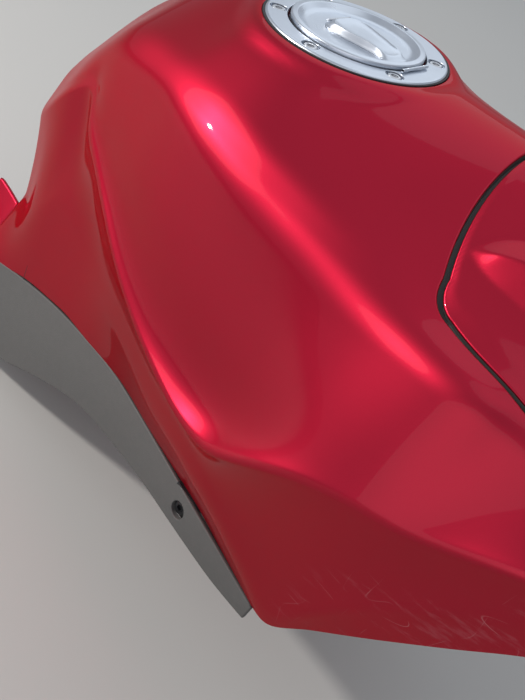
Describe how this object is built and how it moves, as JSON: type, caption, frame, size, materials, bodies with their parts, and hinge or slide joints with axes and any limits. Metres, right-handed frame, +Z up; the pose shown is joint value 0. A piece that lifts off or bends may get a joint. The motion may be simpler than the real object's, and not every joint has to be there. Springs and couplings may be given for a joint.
{
  "type": "motorcycle fuel tank",
  "caption": "Sport motorcycle fuel tank with a knee-recessed shell, front cover, hinged filler cap, side trims and under-tank fittings.",
  "frame": {"origin": "middle of the two front mounting holes, on the front bracket's lower face", "axes": "+X forward along the motorcycle, +Y to its left, +Z up"},
  "size_m": [0.627, 0.3884, 0.4979],
  "materials": {
    "red_paint": "gloss",
    "cap_alloy": "satin",
    "steel": "satin",
    "black_rubber": "matte",
    "black_plastic": "matte",
    "black_metal": "satin",
    "cover_plastic": "gloss",
    "brass": "satin"
  },
  "bodies": {
    "tank": {"tank_shell": "red_paint", "front_cover": "cover_plastic", "ring_gasket": "black_rubber", "cap_ring": "cap_alloy", "ring_bolts": "steel", "filler_neck": "steel", "hinge_pin": "steel", "side_trim_right": "black_plastic", "trim_screw_right": "black_metal", "trim_brackets_right": "black_metal", "side_trim_left": "black_plastic", "trim_screw_left": "black_metal", "trim_brackets_left": "black_metal", "pump_gasket": "black_rubber", "pump_plate": "steel", "pump_bolts": "steel", "fuel_outlet": "brass", "pump_connector": "black_plastic", "front_bracket": "black_metal", "front_grommets": "black_rubber", "front_collars": "steel", "rear_tab": "black_metal", "rear_bush": "black_rubber", "rear_sleeve": "steel", "damper_pads": "black_rubber", "breather_stub": "steel", "drain_stub": "steel"},
    "lid": {"cap_lid": "cap_alloy", "key_cover_pin": "steel", "lid_seal": "black_rubber", "lock_cylinder": "steel"},
    "key_flap": {"key_cover": "cap_alloy"}
  },
  "joints": [
    {"name": "lid_hinge", "type": "hinge", "parent": "tank", "child": "lid", "pos_m": [-0.30885, 0, 0.1643], "axis": [0, 1, 0], "range_deg": [0, 100]},
    {"name": "key_cover_hinge", "type": "hinge", "parent": "lid", "child": "key_flap", "pos_m": [-0.37713, 0, 0.1543], "axis": [0, -1, 0], "range_deg": [0, 110]}
  ]
}
